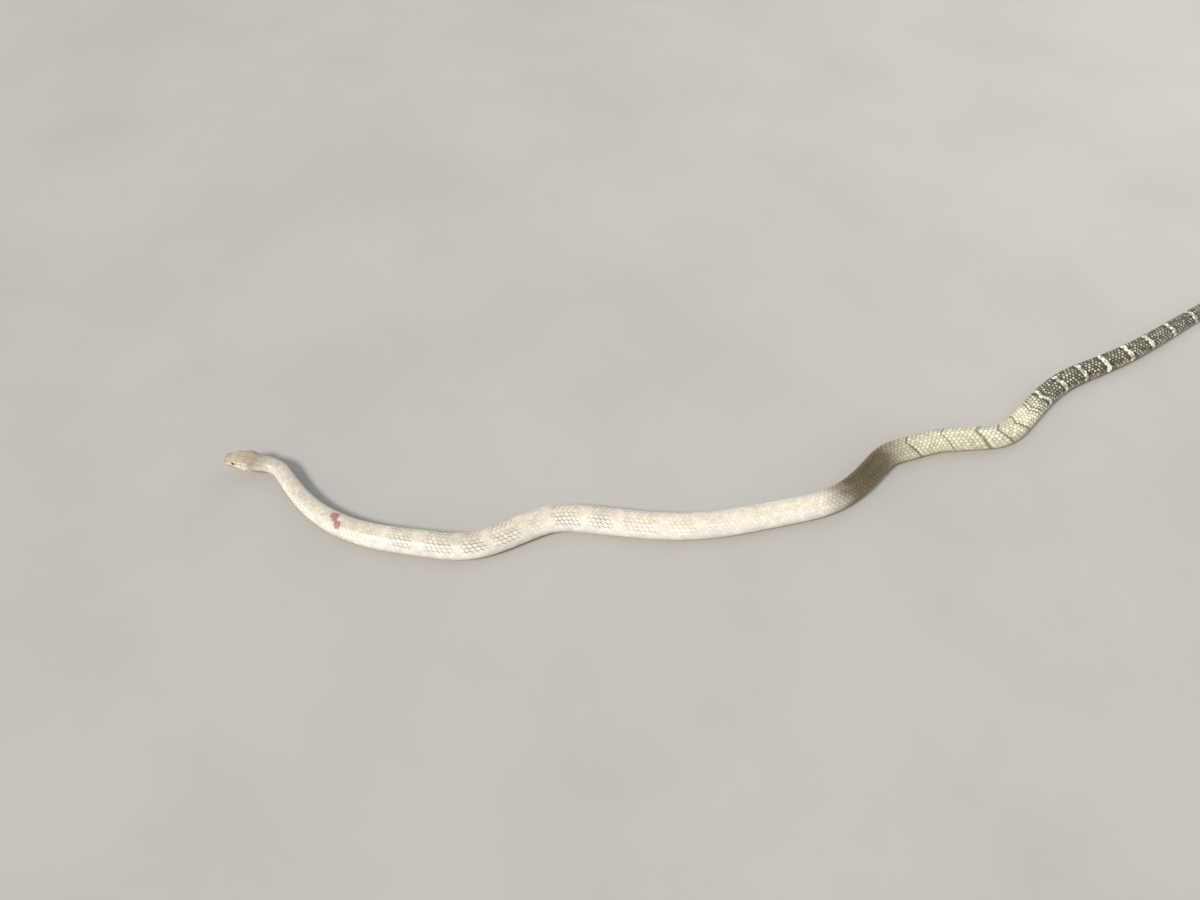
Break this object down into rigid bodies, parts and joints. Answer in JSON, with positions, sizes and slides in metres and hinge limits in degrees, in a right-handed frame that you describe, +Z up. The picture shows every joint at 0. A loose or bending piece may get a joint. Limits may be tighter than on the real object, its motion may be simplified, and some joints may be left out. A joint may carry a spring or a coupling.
{
  "type": "king cobra",
  "caption": "Life-size king cobra stretched along the floor in a loose S curve, with head held just clear, mouth parted, raised crown shields and a slender tail.",
  "frame": {"origin": "middle of the whole animal's footprint, at floor level", "axes": "+X from the snout's end towards the tail's end, +Y to the animal's right, +Z up"},
  "size_m": [3.5025, 0.9786, 0.0637],
  "materials": {
    "skin": "satin scales, cream and pale grey-olive",
    "skin_olive": "satin scales, sage to olive",
    "skin_banded": "satin scales, charcoal with pale rings",
    "head_skin": "smooth shields, greyish tan",
    "jaw_skin": "smooth shields, cream",
    "eye": "wet gloss"
  },
  "bodies": {
    "root": {"head": "head_skin", "lower_jaw": "jaw_skin", "eye_left": "eye", "eye_right": "eye", "neck": "skin", "torso_1": "skin", "torso_2": "skin", "torso_3": "skin", "torso_4": "skin", "torso_5": "skin_olive", "torso_6": "skin_olive", "torso_7": "skin_banded", "tail_1": "skin_banded", "tail_2": "skin_banded"}
  },
  "joints": []
}
